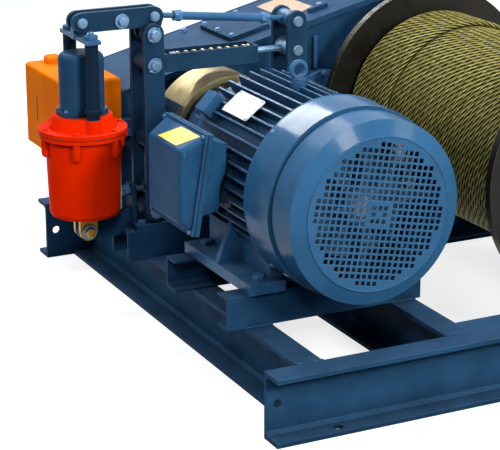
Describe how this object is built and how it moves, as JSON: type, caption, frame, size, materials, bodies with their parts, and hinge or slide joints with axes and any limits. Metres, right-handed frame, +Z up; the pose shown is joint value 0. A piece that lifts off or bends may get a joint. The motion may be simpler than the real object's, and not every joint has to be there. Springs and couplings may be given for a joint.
{
  "type": "electric rope winch",
  "caption": "Electric rope winch on a channel-steel frame: finned motor with fan cowl, thruster-released drum brake, gearbox with sloped cover and a rope-wound drum on a pedestal.",
  "frame": {"origin": "middle of the anchor-hole pattern on the underside of the channel frame, on the floor plane", "axes": "+X across the winch from the motor side to the drum side, +Y from the motor's fan end back to the gearbox, along the motor and drum axes, +Z up"},
  "size_m": [1.59, 1.508, 0.8107],
  "materials": {
    "blue_paint": "gloss",
    "red_paint": "gloss",
    "orange_paint": "satin",
    "bright_steel": "satin",
    "brake_wheel_steel": "machined",
    "yellow_zinc": "satin",
    "rope_wire": "greased",
    "drum_iron": "matt",
    "friction_lining": "matt",
    "core_steel": "matt",
    "fan_plastic": "matt"
  },
  "bodies": {
    "base": {"end_channels": "blue_paint", "long_channels": "blue_paint", "cross_channels": "blue_paint", "motor_supports": "blue_paint", "brake_base": "blue_paint", "brake_base_plate": "blue_paint", "brake_base_pins": "bright_steel", "stop_bolts": "bright_steel", "frame_bolts": "bright_steel", "motor_housing": "blue_paint", "motor_end_shields": "blue_paint", "motor_stator": "core_steel", "fan_cowl": "blue_paint", "terminal_box": "blue_paint", "terminal_lid": "blue_paint", "lifting_eyebolt": "blue_paint", "rolling_bearings": "bright_steel", "gearbox_lower_housing": "blue_paint", "gearbox_cover": "blue_paint", "inspection_cover": "blue_paint", "bearing_caps": "blue_paint", "pedestal": "blue_paint", "pedestal_cap": "blue_paint", "control_box": "orange_paint"},
    "drum": {"drum_shaft": "bright_steel", "third_stage_gear": "bright_steel", "drum_shell": "drum_iron", "drum_flanges": "drum_iron", "rope_core": "rope_wire", "rope_winding": "rope_wire"},
    "third_shaft_body": {"third_shaft": "bright_steel", "second_stage_gear": "bright_steel"},
    "second_shaft_body": {"second_shaft": "bright_steel", "first_stage_gear": "bright_steel"},
    "driveline": {"motor_shaft": "bright_steel", "rotor_core": "core_steel", "cooling_fan": "fan_plastic", "motor_coupling_half": "bright_steel", "coupling_pins": "bright_steel", "brake_wheel": "brake_wheel_steel", "gearbox_input_shaft": "bright_steel"},
    "left_arm_body": {"left_arm": "blue_paint", "left_arm_pins": "bright_steel"},
    "right_arm_body": {"right_arm": "blue_paint", "right_arm_pins": "bright_steel"},
    "left_shoe_body": {"left_shoe": "blue_paint", "left_lining": "friction_lining"},
    "right_shoe_body": {"right_shoe": "blue_paint", "right_lining": "friction_lining"},
    "lever_body": {"brake_lever": "blue_paint", "lever_pins": "bright_steel"},
    "tie_rod_body": {"tie_rod": "bright_steel"},
    "trough_body": {"spring_trough": "blue_paint", "brake_spring": "bright_steel"},
    "spring_rod_body": {"spring_rod": "bright_steel"},
    "thruster_body": {"thruster_foot": "yellow_zinc", "thruster_tank": "red_paint", "thruster_head": "red_paint", "thruster_motor": "blue_paint"},
    "push_rod_body": {"push_rods": "blue_paint"}
  },
  "joints": [
    {"name": "drum_spin", "type": "hinge", "parent": "base", "child": "drum", "pos_m": [0.252, 0.1715, 0.465], "axis": [0, 1, 0], "continuous": true},
    {"name": "third_shaft_spin", "type": "hinge", "parent": "base", "child": "third_shaft_body", "pos_m": [-0.028, 0.1715, 0.465], "axis": [0, 1, 0], "continuous": true},
    {"name": "second_shaft_spin", "type": "hinge", "parent": "base", "child": "second_shaft_body", "pos_m": [-0.238, 0.1715, 0.465], "axis": [0, 1, 0], "continuous": true},
    {"name": "driveline_spin", "type": "hinge", "parent": "base", "child": "driveline", "pos_m": [-0.398, 0.1715, 0.465], "axis": [0, 1, 0], "continuous": true},
    {"name": "thruster_tilt", "type": "hinge", "parent": "base", "child": "thruster_body", "pos_m": [-0.778, 0.1715, 0.247], "axis": [0, 1, 0], "range_deg": [0, 1.33]},
    {"name": "thruster_stroke", "type": "slide", "parent": "thruster_body", "child": "push_rod_body", "axis": [0, 0, 1], "range_m": [0, 0.05], "deforming": ["brake_spring"]},
    {"name": "left_arm_swing", "type": "hinge", "parent": "base", "child": "left_arm_body", "pos_m": [-0.6, 0.1715, 0.285], "axis": [0, 1, 0], "range_deg": [-0.74, 0]},
    {"name": "right_arm_swing", "type": "hinge", "parent": "base", "child": "right_arm_body", "pos_m": [-0.196, 0.1715, 0.285], "axis": [0, 1, 0], "range_deg": [0, 0.74]},
    {"name": "left_shoe_pivot", "type": "hinge", "parent": "left_arm_body", "child": "left_shoe_body", "pos_m": [-0.6, 0.1715, 0.465], "axis": [0, 1, 0], "range_deg": [0, 0.74]},
    {"name": "right_shoe_pivot", "type": "hinge", "parent": "right_arm_body", "child": "right_shoe_body", "pos_m": [-0.196, 0.1715, 0.465], "axis": [0, 1, 0], "range_deg": [-0.74, 0]},
    {"name": "lever_pivot", "type": "hinge", "parent": "left_arm_body", "child": "lever_body", "pos_m": [-0.6, 0.1715, 0.745], "axis": [0, 1, 0], "range_deg": [0, 17.4]},
    {"name": "tie_rod_pivot", "type": "hinge", "parent": "lever_body", "child": "tie_rod_body", "pos_m": [-0.587, 0.1715, 0.7857], "axis": [0, 1, 0], "range_deg": [-17.5, 0]},
    {"name": "trough_pivot", "type": "hinge", "parent": "left_arm_body", "child": "trough_body", "pos_m": [-0.6, 0.1715, 0.667], "axis": [0, 1, 0], "range_deg": [0, 0.74]},
    {"name": "spring_rod_pivot", "type": "hinge", "parent": "right_arm_body", "child": "spring_rod_body", "pos_m": [-0.196, 0.1715, 0.667], "axis": [0, 1, 0], "range_deg": [-0.74, 0]}
  ],
  "couplings": [
    {"joint": "third_shaft_spin", "follows": "drum_spin", "ratio": -3.7059},
    {"joint": "second_shaft_spin", "follows": "drum_spin", "ratio": 13.588},
    {"joint": "driveline_spin", "follows": "drum_spin", "ratio": -40.765},
    {"joint": "thruster_tilt", "follows": "thruster_stroke", "rad_per_m": 0.45956},
    {"joint": "left_arm_swing", "follows": "thruster_stroke", "rad_per_m": -0.2539},
    {"joint": "right_arm_swing", "follows": "thruster_stroke", "rad_per_m": 0.2539},
    {"joint": "left_shoe_pivot", "follows": "thruster_stroke", "rad_per_m": 0.2539},
    {"joint": "right_shoe_pivot", "follows": "thruster_stroke", "rad_per_m": -0.2539},
    {"joint": "lever_pivot", "follows": "thruster_stroke", "rad_per_m": 6.0565},
    {"joint": "tie_rod_pivot", "follows": "thruster_stroke", "rad_per_m": -6.0796},
    {"joint": "trough_pivot", "follows": "thruster_stroke", "rad_per_m": 0.2539},
    {"joint": "spring_rod_pivot", "follows": "thruster_stroke", "rad_per_m": -0.2539}
  ]
}
